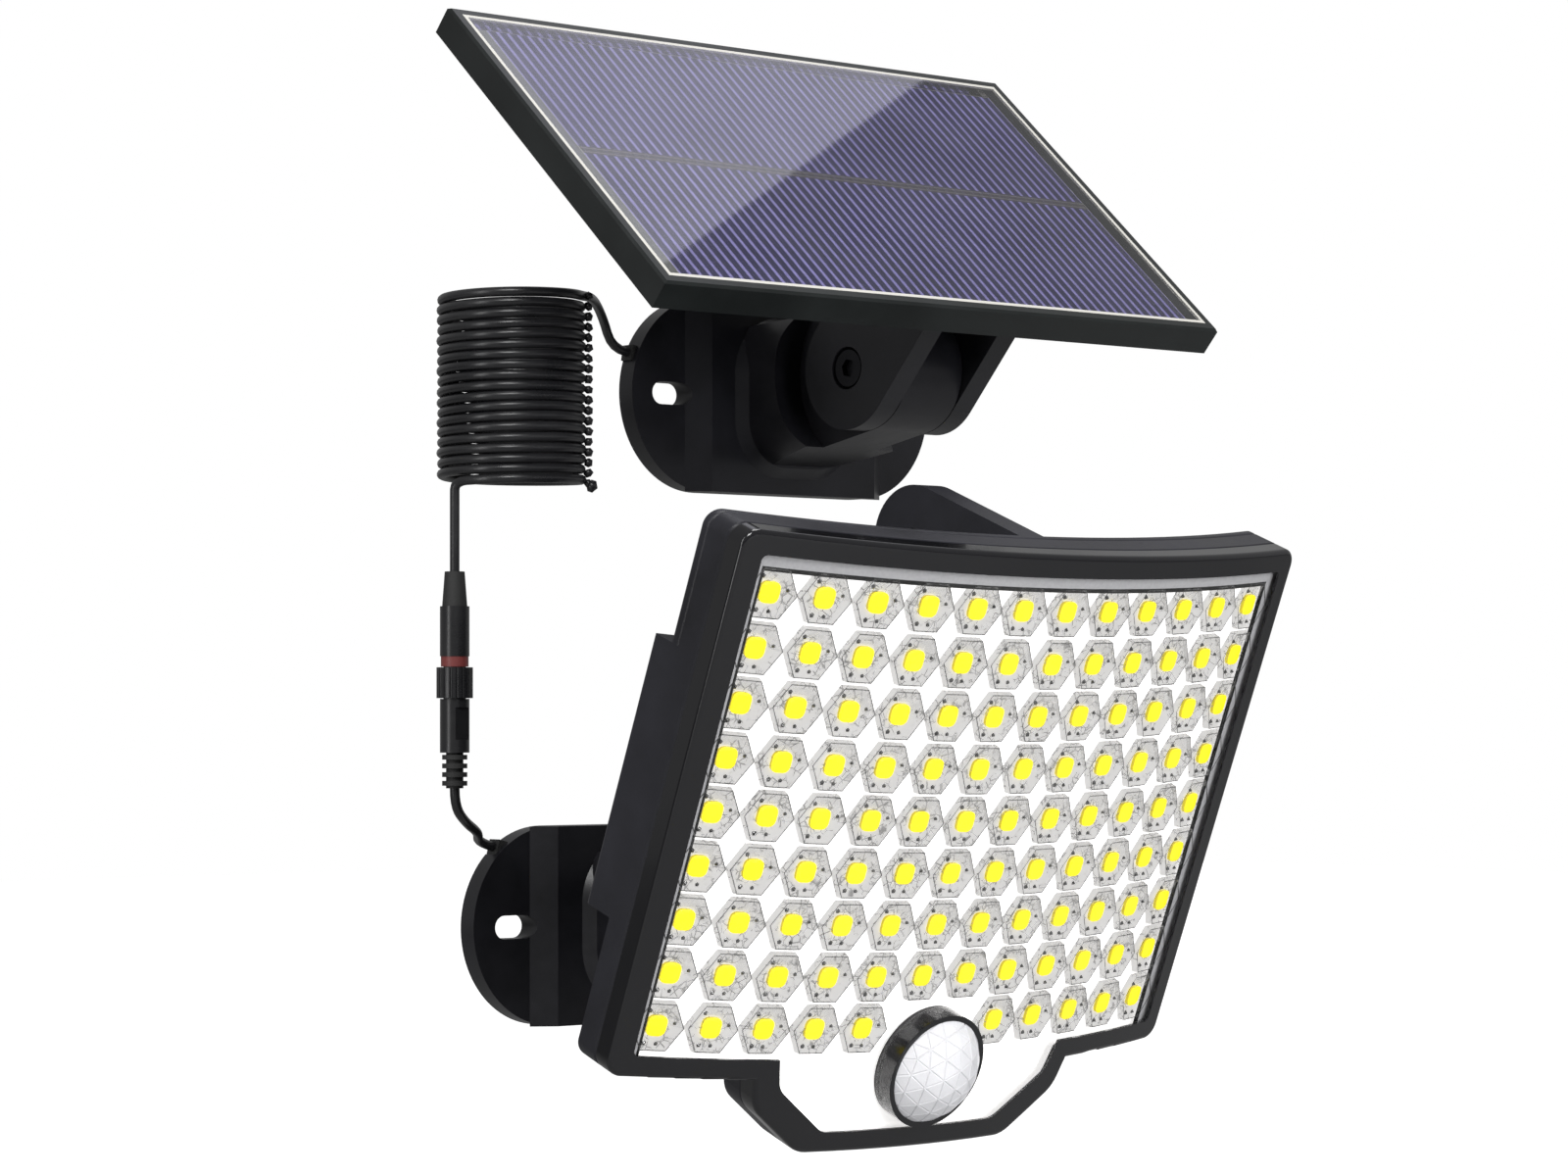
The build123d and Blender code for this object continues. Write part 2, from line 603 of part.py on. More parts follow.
# ---------------------------------------------------------------- cable and its connector
def cord_tube(points, label):
    """Straight runs joined by arcs as large as the two runs beside each point allow."""
    radii = []
    for a, b, c in zip(points, points[1:], points[2:]):
        u, v = Vector(b) - Vector(a), Vector(c) - Vector(b)
        radii.append(0.45 * min(u.length, v.length) / tan(radians(u.get_angle(v)) / 2))
    path = FilletPolyline(*points, radius=radii)
    tube = sweep(Plane(origin=path @ 0, z_dir=path % 0) * Circle(cord_diameter / 2), path)
    area = pi * cord_diameter ** 2 / 4
    print(label, "length", round(path.length, 1), "radii", [round(r, 1) for r in radii],
          "volume / (section x length)", round(tube.volume / (area * path.length), 4))
    return tube


cx, cy, cz = coil_centre
coil_top = cz + coil_height / 2
coil_low = cz - coil_height / 2
save("cable_coil", Pos(cx, cy, coil_low) * rod(coil_radius, coil_height))
mid_radius = coil_radius - cord_diameter / 2
drop_x = cx - mid_radius
leave_angle = -42.0
leave = radians(leave_angle)
off_x, off_y = cx + mid_radius * cos(leave), cy + mid_radius * sin(leave)
upper_exit, upper_out = cable_exit(panel_bracket_x, panel_bracket_z, *panel_cable)
lower_exit, lower_out = cable_exit(0.0, 0.0, *lamp_cable)
panel_lead_points = [
    tuple(upper_exit), tuple(upper_exit + upper_out * 5.0), (-11.0, -6.0, 147.0), (-24.0, -18.0, 150.3),
    (off_x, off_y, coil_top - cord_diameter / 2)]
save("panel_lead", cord_tube(panel_lead_points, "panel_lead"))
drop_y = cy
drop = coil_low - connector_top
save("coil_drop_lead", Pos(drop_x, drop_y, connector_top) * rod(cord_diameter / 2, drop))

z = connector_top - relief_length
here = Pos(drop_x, drop_y, z)
relief = loft([here * Circle(connector_radius - 0.5), Pos(0, 0, relief_length) * here * Circle(relief_neck)])
save("upper_strain_relief", relief)
z -= socket_length
here = Pos(drop_x, drop_y, z)
save("connector_socket", here * rod(connector_radius, socket_length))
z -= seal_length
save("connector_seal", Pos(drop_x, drop_y, z) * ring(connector_radius - 0.2, pin_radius, seal_length))
z -= nut_length
nut_low = z
nut = ring(nut_radius, pin_radius + nut_turn_fit, nut_length - 2 * nut_end_gap)
for k in range(nut_grooves):
    nut -= Rot(0, 0, 360 / nut_grooves * k) * Pos(nut_radius, 0, 0) * rod(nut_groove, nut_length)
save("coupling_nut", Pos(drop_x, drop_y, z + nut_end_gap) * nut)
z -= plug_length
body = Pos(drop_x, drop_y, z) * rod(connector_radius, plug_length)
body += Pos(drop_x, drop_y, nut_low) * rod(pin_radius, nut_length + seal_length)
for side in (-1, 1):
    body -= Pos(drop_x, drop_y + side * (2 * connector_radius - plug_flat), z + 3) * Box(
        2 * connector_radius, 2 * connector_radius, plug_length - 5, align=(Align.CENTER, Align.CENTER, Align.MIN))
save("connector_plug", body)
z -= lower_relief_length
relief = Pos(drop_x, drop_y, z) * rod(relief_core, lower_relief_length)
rib_radius, rib_length, rib_pitch = relief_rib
for k in range(relief_ribs):
    relief += Pos(drop_x, drop_y, z + 0.6 + rib_pitch * k) * rod(rib_radius, rib_length)
save("lower_strain_relief", relief)
lamp_lead_points = [
    (drop_x, drop_y, z), (drop_x, drop_y, z - 4.2), (-66.0, -22.5, 25.8), (-55.0, -13.5, 23.0),
    tuple(lower_exit + lower_out * 5.0), tuple(lower_exit)]
save("lamp_lead", cord_tube(lamp_lead_points, "lamp_lead"))

# a tie strip down the coil's outside, ending in a small knob below it
strip = Pos(cx, cy, coil_low - 1.0) * Rot(0, 0, leave_angle) * Pos(coil_radius, 0, 0) * Box(
    tie_thickness, tie_width, coil_height + 2.0, align=(Align.MIN, Align.CENTER, Align.MIN))
knob = Pos(cx, cy, coil_low + 1.0) * Rot(0, 0, leave_angle) * Pos(coil_radius + 1.2, 0, 0) * Sphere(tie_knob)
save("coil_tie", strip + (knob - Pos(cx, cy, coil_low - 5) * rod(coil_radius + 0.5, 20)))
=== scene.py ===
import json
from math import cos, pi, radians, sin, sqrt

import bmesh
import bpy
from mathutils import Matrix, Vector


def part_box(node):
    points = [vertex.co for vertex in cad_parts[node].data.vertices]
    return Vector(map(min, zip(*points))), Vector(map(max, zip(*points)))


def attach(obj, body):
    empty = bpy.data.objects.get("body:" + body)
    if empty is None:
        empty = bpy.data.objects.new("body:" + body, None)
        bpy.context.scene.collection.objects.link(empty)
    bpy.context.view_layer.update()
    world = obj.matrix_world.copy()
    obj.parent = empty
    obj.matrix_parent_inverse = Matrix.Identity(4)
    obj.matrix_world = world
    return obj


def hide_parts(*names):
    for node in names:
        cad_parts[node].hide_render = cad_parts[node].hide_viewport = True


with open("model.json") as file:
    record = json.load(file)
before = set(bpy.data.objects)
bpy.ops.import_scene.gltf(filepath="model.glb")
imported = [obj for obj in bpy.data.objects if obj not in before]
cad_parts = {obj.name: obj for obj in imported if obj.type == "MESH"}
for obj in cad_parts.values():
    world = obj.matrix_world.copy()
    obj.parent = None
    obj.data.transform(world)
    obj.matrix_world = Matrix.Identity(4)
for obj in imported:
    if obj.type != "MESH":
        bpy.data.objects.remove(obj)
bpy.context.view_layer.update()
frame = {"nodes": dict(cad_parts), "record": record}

MM = 0.001
nodes = frame["nodes"]

# ---------------------------------------------------------------- places and sizes, in metres
lamp_tilt = radians(21.5)
lamp_centre = Vector((0.0, -123.5, 26.3)) * MM
lamp_radius = 340 * MM
lamp_half_width = 86 * MM
lamp_top = 66 * MM
bezel_rim = 5.2 * MM
panel_tilt = radians(41.8)
panel_centre = Vector((19.0, -60.0, 179.7)) * MM
glass_half_length = 85.4 * MM
glass_half_width = 48.4 * MM
silver_line = 1.0 * MM
cord_diameter = 2.3 * MM
coil_centre = Vector((-54.4, -25.0, 126.4)) * MM
coil_outer = 17.8 * MM
coil_height = 46.0 * MM
coil_start_angle = radians(-42)
whole_turns = 18
points_per_turn = 16
knot_radius = 1.25 * MM
knob_radius = 1.7 * MM
led_columns, led_rows = 12, 9
led_pitch_x, led_pitch_z, led_grid_z = 13.6 * MM, 12.5 * MM, 2.0 * MM
board_front = 2.8 * MM
cell_radius = 6.7 * MM
cell_height = 1.6 * MM
chip_size = 4.8 * MM
chip_height = 0.9 * MM
pir_z = -57.0 * MM
pir_radius = 12.6 * MM
pir_dome_radius = 15.0 * MM
pir_ring_front = -9.2 * MM
lamp_matrix = Matrix.Translation(lamp_centre) @ Matrix.Rotation(lamp_tilt, 4, "X")
panel_matrix = Matrix.Translation(panel_centre) @ Matrix.Rotation(panel_tilt, 4, "X")

# ---------------------------------------------------------------- camera
view_angle = radians(42)
camera = bpy.data.objects.new("camera", bpy.data.cameras.new("camera"))
bpy.context.collection.objects.link(camera)
camera.location = (-0.679, -0.8135, 0.0506)
camera.rotation_euler = (radians(90), 0, -view_angle)
camera.data.lens = 99
camera.data.sensor_width = 36
camera.data.shift_y = 0.0812
camera.data.clip_end = 50
bpy.context.scene.camera = camera


# ---------------------------------------------------------------- modelling helpers
def only(*objects):
    """Object mode, with just these selected and the first one active."""
    if bpy.context.object and bpy.context.object.mode != "OBJECT":
        bpy.ops.object.mode_set(mode="OBJECT")
    bpy.ops.object.select_all(action="DESELECT")
    for obj in objects:
        obj.select_set(True)
    bpy.context.view_layer.objects.active = objects[0]
    return objects[0]


def start(obj, name):
    """Names a fresh primitive and opens it in edit mode with nothing selected."""
    obj.name = name
    obj.data.name = name
    only(obj)
    bpy.ops.object.mode_set(mode="EDIT")
    bpy.ops.mesh.select_mode(type="FACE")
    bpy.ops.mesh.select_all(action="DESELECT")


def pick(obj, test, kind="faces"):
    """Selects the faces, edges or vertices for which test holds, and nothing else."""
    bpy.ops.mesh.select_mode(type={"faces": "FACE", "edges": "EDGE", "verts": "VERT"}[kind])
    bpy.ops.mesh.select_all(action="DESELECT")
    mesh = bmesh.from_edit_mesh(obj.data)
    for item in getattr(mesh, kind):
        item.select_set(bool(test(item)))
    mesh.select_flush_mode()
    bmesh.update_edit_mesh(obj.data)


def settle(obj, matrix=None):
    """Leaves edit mode and puts the object's place into its mesh."""
    bpy.ops.object.mode_set(mode="OBJECT")
    only(obj)
    if matrix is not None:
        obj.matrix_world = matrix @ obj.matrix_world
    bpy.ops.object.transform_apply(location=True, rotation=True, scale=True)
    return obj


def smooth(obj, angle=35):
    only(obj)
    bpy.ops.object.shade_smooth_by_angle(angle=radians(angle))
    return obj


def copies(master, name, places):
    """One piece made of a copy of master's mesh at each matrix."""
    made = []
    for place in places:
        one = master.copy()
        one.data = master.data.copy()
        bpy.context.collection.objects.link(one)
        one.matrix_world = place
        made.append(one)
    bpy.data.objects.remove(master)
    only(*made)
    bpy.ops.object.transform_apply(location=True, rotation=True, scale=True)
    bpy.ops.object.join()
    piece = bpy.context.object
    piece.name = name
    piece.data.name = name
    return piece


def on_arc(arc, z, offset):
    """Place on a curved layer of the lamp, with local -Y leaving it."""
    angle = arc / lamp_radius
    radius = lamp_radius + offset
    place = Matrix.Translation((radius * sin(angle), lamp_radius - radius * cos(angle), z))
    return lamp_matrix @ place @ Matrix.Rotation(angle, 4, "Z")


# ---------------------------------------------------------------- cords
def spline_cord(name, points):
    """A cord along one smooth open NURBS line near its points.

    Each point's radius is small and the bevel large, so that the curve's box stays close round it."""
    curve = bpy.data.curves.new(name, "CURVE")
    curve.dimensions = "3D"
    spline = curve.splines.new("NURBS")
    spline.points.add(len(points) - 1)
    for point, place in zip(spline.points, points):
        point.co = (*place, 1)
        point.radius = MM
    spline.order_u = 3
    spline.use_endpoint_u = True
    spline.resolution_u = 4
    curve.bevel_depth = cord_diameter / 2 / MM
    curve.bevel_resolution = 4
    curve.use_fill_caps = True
    obj = bpy.data.objects.new(name, curve)
    bpy.context.collection.objects.link(obj)
    return obj


turn_radius = coil_outer - cord_diameter / 2
coil_top = coil_centre.z + coil_height / 2 - cord_diameter / 2
coil_low = coil_centre.z - coil_height / 2 + cord_diameter / 2
all_turns = whole_turns + (pi + coil_start_angle) / (2 * pi)


def coil_point(turned):
    """A point of the winding after this share of its turns, clockwise and downwards."""
    angle = coil_start_angle - 2 * pi * turned
    wander = 0.10 * MM * sin(2.1 * angle) + 0.08 * MM * sin(5.3 * turned)
    radius = turn_radius - 0.12 * MM + 0.10 * MM * sin(0.37 * angle)
    drop = (coil_top - coil_low) * turned / all_turns
    ease = min(turned, all_turns - turned, 1.0)
    return (coil_centre.x + radius * cos(angle), coil_centre.y + radius * sin(angle),
            coil_top - drop + wander * ease)


panel_route = [
    (-0.1, -1.9, 139.6), (-5.0, -1.9, 140.4), (-11.0, -6.0, 147.0), (-24.0, -18.0, 150.3)]
panel_points = [tuple(value * MM for value in point) for point in panel_route]
winding = [coil_point(step / points_per_turn) for step in range(int(all_turns * points_per_turn))]
drop_x, drop_y = coil_centre.x - turn_radius, coil_centre.y
connector_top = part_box("upper_strain_relief")[1][2]
drop_points = [(drop_x, drop_y, height) for height in (coil_low, coil_low - 4 * MM, connector_top)]
panel_cord = spline_cord("panel_cable", panel_points + winding + drop_points)
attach(panel_cord, "root")
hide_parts("panel_lead", "cable_coil", "coil_drop_lead")
plug_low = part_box("lower_strain_relief")[0][2]
lamp_route = [
    (-71.05, -25.0, plug_low / MM), (-71.05, -25.0, plug_low / MM - 4.2), (-66.0, -22.5, 25.8),
    (-55.0, -13.5, 23.0), (-46.6, -1.9, 20.5), (-41.7, -1.9, 19.2)]
lamp_points = [tuple(value * MM for value in point) for point in lamp_route]
lamp_cord = spline_cord("lamp_cable", lamp_points)
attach(lamp_cord, "root")
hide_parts("lamp_lead")


# ---------------------------------------------------------------- shader kit
class Value:
    """A node's output socket that takes part in ordinary arithmetic."""

    def __init__(self, surface, socket):
        self.surface, self.socket = surface, socket

    def join(self, operation, *terms):
        return self.surface.node("ShaderNodeMath", {"operation": operation}, *terms)

    def __add__(self, other):
        return self.join("ADD", self, other)

    def __radd__(self, other):
        return self.join("ADD", other, self)

    def __sub__(self, other):
        return self.join("SUBTRACT", self, other)

    def __rsub__(self, other):
        return self.join("SUBTRACT", other, self)

    def __mul__(self, other):
        return self.join("MULTIPLY", self, other)

    def __rmul__(self, other):
        return self.join("MULTIPLY", other, self)

    def __truediv__(self, other):
        return self.join("DIVIDE", self, other)


class Surface:
    """A material with one Principled shader, and short ways to add nodes to it."""

    def __init__(self, name, **constants):
        self.material = bpy.data.materials.new(name)
        self.material.use_nodes = True
        self.tree = self.material.node_tree
        self.shader = self.tree.nodes["Principled BSDF"]
        self.output = self.tree.nodes["Material Output"]
        for key, value in constants.items():
            self.shader.inputs[key.replace("_", " ")].default_value = value

    def node(self, kind, settings=None, *inputs, out=0, **named):
        made = self.tree.nodes.new(kind)
        for key, value in (settings or {}).items():
            if key == "stops":
                ramp = made.color_ramp
                while len(ramp.elements) < len(value):
                    ramp.elements.new(0.5)
                for element, (place, colour) in zip(ramp.elements, value):
                    element.position = place
                    element.color = colour
            else:
                setattr(made, key, value)
        pairs = list(zip(made.inputs, inputs))
        pairs += [(made.inputs[key.replace("_", " ")], value) for key, value in named.items()]
        for socket, value in pairs:
            self.feed(socket, value)
        return Value(self, made.outputs[out])

    def feed(self, socket, value):
        if isinstance(value, Value):
            self.tree.links.new(value.socket, socket)
        else:
            socket.default_value = value

    def place(self):
        return self.node("ShaderNodeTexCoord", None, out="Object")

    def noise(self, scale, detail=3.0, rough=0.5, where=None):
        return self.node("ShaderNodeTexNoise", None, Vector=where or self.place(), Scale=scale,
                         Detail=detail, Roughness=rough)

    def spread(self, value, low, high, new_low=0.0, new_high=1.0):
        return self.node("ShaderNodeMapRange", None, Value=value, From_Min=low, From_Max=high,
                         To_Min=new_low, To_Max=new_high)

    def blend(self, factor, first, second):
        made = self.tree.nodes.new("ShaderNodeMix")
        made.data_type = "RGBA"
        self.feed(made.inputs[0], factor)
        self.feed(made.inputs[6], first)
        self.feed(made.inputs[7], second)
        return Value(self, made.outputs[2])

    def bump(self, height, strength, distance=0.1 * MM):
        bumped = self.node("ShaderNodeBump", None, Strength=strength, Distance=distance, Height=height)
        self.feed(self.shader.inputs["Normal"], bumped)

    def drive(self, **channels):
        for key, value in channels.items():
            self.feed(self.shader.inputs[key.replace("_", " ")], value)

    def along(self, axis, origin):
        """Distance in metres from origin along one direction."""
        shifted = self.node("ShaderNodeVectorMath", {"operation": "SUBTRACT"}, self.place(), tuple(origin))
        return self.node("ShaderNodeVectorMath", {"operation": "DOT_PRODUCT"}, shifted, tuple(axis),
                         out="Value")


def moulded(name, dark, light, rough, grain=1.0, coat=0.0, scale=3200.0):
    """Moulded plastic or rubber: fine grain, soft mottling and a little uneven gloss."""
    s = Surface(name, Roughness=rough, Coat_Weight=coat, Coat_Roughness=0.12, Specular_IOR_Level=0.35)
    fine = s.noise(scale, 4.0, 0.6)
    broad = s.noise(45.0, 4.0, 0.55)
    scuffs = s.spread(s.noise(260.0, 6.0, 0.7), 0.55, 0.75)
    tone = s.spread(broad * 0.7 + fine * 0.3, 0.35, 0.65)
    s.drive(Base_Color=s.blend(tone, dark, light),
            Roughness=s.spread(broad, 0.3, 0.7, rough - 0.05, rough + 0.07) + scuffs * 0.06)
    s.bump(fine, 0.25 * grain, 0.04 * MM)
    return s.material


def glossy(name, colour, rough=0.08, wave=0.3):
    s = Surface(name, Roughness=rough, Coat_Weight=0.25, Coat_Roughness=0.04, Specular_IOR_Level=0.35)
    broad = s.noise(70.0, 3.0)
    dust = s.spread(s.noise(1500.0, 5.0, 0.7), 0.6, 0.8)
    s.drive(Base_Color=s.blend(dust * 0.25, colour, (0.03, 0.03, 0.032, 1)),
            Roughness=s.spread(broad, 0.3, 0.7, rough, rough + 0.06) + dust * 0.1)
    s.bump(s.noise(160.0, 2.0), wave * 0.2, 0.05 * MM)
    return s.material


def metal(name, colour, rough=0.3):
    s = Surface(name, Metallic=1.0, Roughness=rough)
    grain = s.noise(2400.0, 5.0, 0.7)
    broad = s.noise(300.0, 3.0)
    s.drive(Base_Color=s.blend(broad, colour, tuple(c * 0.75 for c in colour[:3]) + (1,)),
            Roughness=s.spread(grain, 0.3, 0.7, rough - 0.06, rough + 0.12))
    s.bump(grain, 0.2, 0.02 * MM)
    return s.material


def see_through(s, amount):
    """Shows the surface's own shader by this amount, and what lies behind it by the rest."""
    through = s.node("ShaderNodeBsdfTransparent", None, Color=(1, 1, 1, 1))
    mixed = s.node("ShaderNodeMixShader", None, amount, through, Value(s, s.shader.outputs[0]))
    s.feed(s.output.inputs["Surface"], mixed)
    return s.material


def glossy_clear(name, strength, tint, haze_top):
    """A clear sheet whose gloss follows the angle it is seen at, as a smooth window does."""
    s = Surface(name, Base_Color=tint, Roughness=0.04, IOR=1.5)
    haze = s.spread(s.noise(55.0, 4.0), 0.3, 0.7, 0.0, haze_top)
    fresnel = s.node("ShaderNodeFresnel", None, IOR=1.5)
    shine = s.node("ShaderNodeBsdfGlossy", None, Color=(1, 1, 1, 1), Roughness=0.03)
    through = s.node("ShaderNodeBsdfTransparent", None, Color=(1, 1, 1, 1))
    hazy = s.node("ShaderNodeMixShader", None, haze, through, Value(s, s.shader.outputs[0]))
    s.feed(s.output.inputs["Surface"], s.node("ShaderNodeMixShader", None, fresnel * strength, hazy, shine))
    return s.material


def window_sheet():
    """The lens sheet: clear, with a satin strip and a thin black line inside its top and sides."""
    s = Surface("lens_sheet", Roughness=0.34, IOR=1.5)
    x = s.node("ShaderNodeMath", {"operation": "ABSOLUTE"}, s.along((1, 0, 0), lamp_centre))
    z = s.along((0, -sin(lamp_tilt), cos(lamp_tilt)), lamp_centre)
    side = (lamp_half_width - x - bezel_rim) * 1.5
    top = lamp_top - z - bezel_rim
    inside = s.node("ShaderNodeMath", {"operation": "MINIMUM"}, side, top)
    strip = s.spread(inside, 2.9 * MM, 3.0 * MM, 1.0, 0.0)
    line = s.spread(inside, 3.9 * MM, 4.0 * MM, 1.0, 0.0)
    grain = s.noise(1200.0, 3.0)
    grey = s.blend(grain, (0.26, 0.26, 0.27, 1), (0.36, 0.36, 0.37, 1))
    s.drive(Base_Color=s.blend(strip, (0.006, 0.006, 0.006, 1), grey),
            Roughness=s.spread(grain, 0, 1, 0.3, 0.42))
    return see_through(s, line + 0.003)


def cell_glass(name, dark, light, least, most):
    """Moulded lens plastic with painted shade: almost clear, with a share of grey or dark colour and fine
    dark lines painted in for refraction.
    """
    s = Surface(name, Roughness=0.15, IOR=1.5)
    cracks = s.node("ShaderNodeTexVoronoi", {"feature": "DISTANCE_TO_EDGE"}, s.place(), Scale=520.0,
                    out="Distance")
    # painted shade: fine dark lines standing in for the refraction seen through the clear plastic
    lines = s.spread(cracks, 0.02, 0.09, 1.0, 0.0) * s.spread(s.noise(330.0, 2.0), 0.48, 0.56)
    tone = s.noise(700.0, 3.0)
    s.drive(Base_Color=s.blend(s.spread(tone, 0.35, 0.65), dark, light))
    s.bump(tone, 0.2, 0.05 * MM)
    return see_through(s, s.spread(tone, 0.3, 0.7, least, least * 1.6) + lines * most)


def solar_cells():
    """Blue-violet silicon with light fingers, a bus band across the middle and a grey margin."""
    s = Surface("solar_cells", Roughness=0.3, Specular_IOR_Level=0.3)
    along = s.along((1, 0, 0), panel_centre)
    up = s.along((0, cos(panel_tilt), sin(panel_tilt)), panel_centre)
    pitch = 3.09 * MM
    wobble = (s.noise(120.0, 2.0) - 0.5) * 0.10 * MM
    phase = s.node("ShaderNodeMath", {"operation": "PINGPONG"}, along + wobble, pitch / 2)
    finger = s.spread(phase, 0.30 * MM, 0.68 * MM, 1.0, 0.0)
    middle_bus = s.node("ShaderNodeMath", {"operation": "ABSOLUTE"}, up)
    band = s.spread(middle_bus, 1.35 * MM, 1.5 * MM, 1.0, 0.0)
    ribbon = s.spread(s.node("ShaderNodeMath", {"operation": "ABSOLUTE"}, middle_bus - 0.75 * MM),
                      0.12 * MM, 0.22 * MM, 1.0, 0.0)
    margin = s.spread(along, -80.6 * MM, -80.4 * MM, 1.0, 0.0)
    edge = s.spread(along, -80.5 * MM, -80.2 * MM, 1.0, 0.0)
    shade = s.spread(s.noise(38.0, 3.0) * 0.6 + s.noise(900.0, 3.0) * 0.4, 0.35, 0.65)
    silicon = s.blend(shade, (0.002, 0.0015, 0.030, 1), (0.006, 0.004, 0.075, 1))
    lined = s.blend(finger, silicon, s.blend(shade, (0.20, 0.18, 0.46, 1), (0.27, 0.245, 0.54, 1)))
    banded = s.blend(band, lined, s.blend(ribbon, (0.040, 0.037, 0.042, 1), (0.16, 0.15, 0.15, 1)))
    edged = s.blend(edge, banded, (0.45, 0.44, 0.42, 1))
    grain = s.noise(800.0, 3.0)
    grey = s.blend(grain, (0.10, 0.105, 0.10, 1), (0.15, 0.155, 0.15, 1))
    s.drive(Base_Color=s.blend(margin, edged, grey),
            Roughness=0.28 + finger * 0.1 + ribbon * 0.1)
    s.bump(finger + ribbon * 1.5, 0.25, 0.03 * MM)
    return s.material


def framed_tray():
    """Black moulding with a thin silver line round the inner edge of its top face."""
    s = Surface("panel_frame_plastic", Roughness=0.34, Specular_IOR_Level=0.26)
    along = s.node("ShaderNodeMath", {"operation": "ABSOLUTE"}, s.along((1, 0, 0), panel_centre))
    up = s.node("ShaderNodeMath", {"operation": "ABSOLUTE"},
                s.along((0, cos(panel_tilt), sin(panel_tilt)), panel_centre))
    height = s.along((0, -sin(panel_tilt), cos(panel_tilt)), panel_centre)
    outside = s.node("ShaderNodeMath", {"operation": "MAXIMUM"}, along - (glass_half_length + silver_line),
                     up - (glass_half_width + silver_line))
    silver = s.spread(outside, -0.05 * MM, 0.05 * MM, 1.0, 0.0) * s.spread(height, -0.6 * MM, -0.5 * MM)
    fine = s.noise(3000.0, 4.0, 0.6)
    broad = s.noise(45.0, 4.0)
    tone = s.spread(broad * 0.6 + fine * 0.4, 0.35, 0.65)
    plastic = s.blend(tone, (0.005, 0.006, 0.006, 1), (0.011, 0.013, 0.013, 1))
    s.drive(Base_Color=s.blend(silver, plastic, (0.42, 0.41, 0.38, 1)),
            Roughness=s.spread(broad, 0.3, 0.7, 0.3, 0.42))
    s.bump(fine, 0.25, 0.04 * MM)
    return s.material


def circuit_board(name, mask, trace):
    s = Surface(name, Roughness=0.35, Coat_Weight=0.3)
    cells = s.node("ShaderNodeTexBrick", None, Vector=s.place(), Scale=120.0, Mortar_Size=0.012,
                   Color1=(0, 0, 0, 1), Color2=(0, 0, 0, 1), Mortar=(1, 1, 1, 1))
    tone = s.spread(s.noise(150.0), 0.3, 0.7)
    s.drive(Base_Color=s.blend(cells * 0.5 + tone * 0.15, mask, trace),
            Roughness=s.spread(tone, 0, 1, 0.3, 0.42))
    s.bump(s.noise(1800.0), 0.15, 0.02 * MM)
    return s.material


def white_board():
    """White solder mask, brightened by a painted glow: it emits light though it is no lamp."""
    s = Surface("white_board", Roughness=0.45, Emission_Strength=0.78)
    tone = s.spread(s.noise(60.0, 4.0) * 0.6 + s.noise(1500.0, 4.0) * 0.4, 0.35, 0.65)
    white = s.blend(tone, (0.90, 0.885, 0.87, 1), (0.96, 0.95, 0.94, 1))
    # painted light: the board's white is also fed to its emission
    s.drive(Base_Color=white, Emission_Color=white, Roughness=s.spread(tone, 0, 1, 0.4, 0.5))
    s.bump(tone, 0.1, 0.02 * MM)
    return s.material


def phosphor():
    # painted light: the phosphor glows to look brighter, though the LEDs are not switched on
    s = Surface("led_phosphor", Roughness=0.38, Emission_Strength=0.36, Coat_Weight=0.2)
    grain = s.spread(s.noise(3500.0, 4.0, 0.7), 0.3, 0.7)
    yellow = s.blend(grain, (0.84, 0.68, 0.003, 1), (0.93, 0.78, 0.008, 1))
    s.drive(Base_Color=yellow, Emission_Color=yellow)
    s.bump(grain, 0.2, 0.03 * MM)
    return s.material


black = (0.004, 0.004, 0.005, 1)
finishes = {
    "bracket_plastic": moulded("bracket_plastic", (0.004, 0.004, 0.005, 1), (0.011, 0.011, 0.014, 1), 0.36),
    "housing_plastic": moulded("housing_plastic", (0.004, 0.004, 0.006, 1), (0.012, 0.012, 0.017, 1), 0.40),
    "panel_frame_plastic": framed_tray(),
    "seal_rubber": moulded("seal_rubber", (0.008, 0.008, 0.008, 1), (0.020, 0.020, 0.020, 1), 0.62, 1.5),
    "foam": moulded("foam", (0.02, 0.02, 0.02, 1), (0.05, 0.05, 0.05, 1), 0.85, 3.0, scale=1500.0),
    "red_seal": moulded("red_seal", (0.10, 0.020, 0.020, 1), (0.16, 0.035, 0.032, 1), 0.4, 0.6),
    "cord_jacket": moulded("cord_jacket", (0.006, 0.006, 0.007, 1), (0.014, 0.014, 0.015, 1), 0.30, 0.5),
    "connector_plastic": moulded("connector_plastic", (0.006, 0.006, 0.007, 1), (0.016, 0.016, 0.017, 1),
                                 0.28, 0.6),
    "gloss_black": glossy("gloss_black", black),
    "panel_glass": glossy_clear("panel_glass", 1.0, (0.5, 0.5, 0.6, 1), 0.02),
    "clear_plastic": glossy_clear("clear_plastic", 0.02, (0.8, 0.8, 0.8, 1), 0.004),
    "lens_plastic": window_sheet(),
    "pir_white": moulded("pir_white", (0.46, 0.46, 0.48, 1), (0.58, 0.58, 0.60, 1), 0.38, 0.4, 0.2),
    "white_board": white_board(),
    "battery_wrap": glossy("battery_wrap", (0.02, 0.10, 0.40, 1), 0.25),
    "green_board": circuit_board("green_board", (0.02, 0.16, 0.06, 1), (0.05, 0.30, 0.10, 1)),
    "steel": metal("zinc_steel", (0.62, 0.62, 0.64, 1)),
    "sensor_can": metal("nickel", (0.66, 0.64, 0.58, 1), 0.25),
    "solar_cell": solar_cells(),
    "led_phosphor": phosphor(),
}
dark_steel = metal("black_zinc_steel", (0.030, 0.030, 0.033, 1), 0.42)
slots = {part["node"]: part["material_slot"] for part in frame["record"]["subparts"]}
for name, obj in nodes.items():
    obj.data.materials.clear()
    obj.data.materials.append(dark_steel if "hinge" in name else finishes[slots[name]])
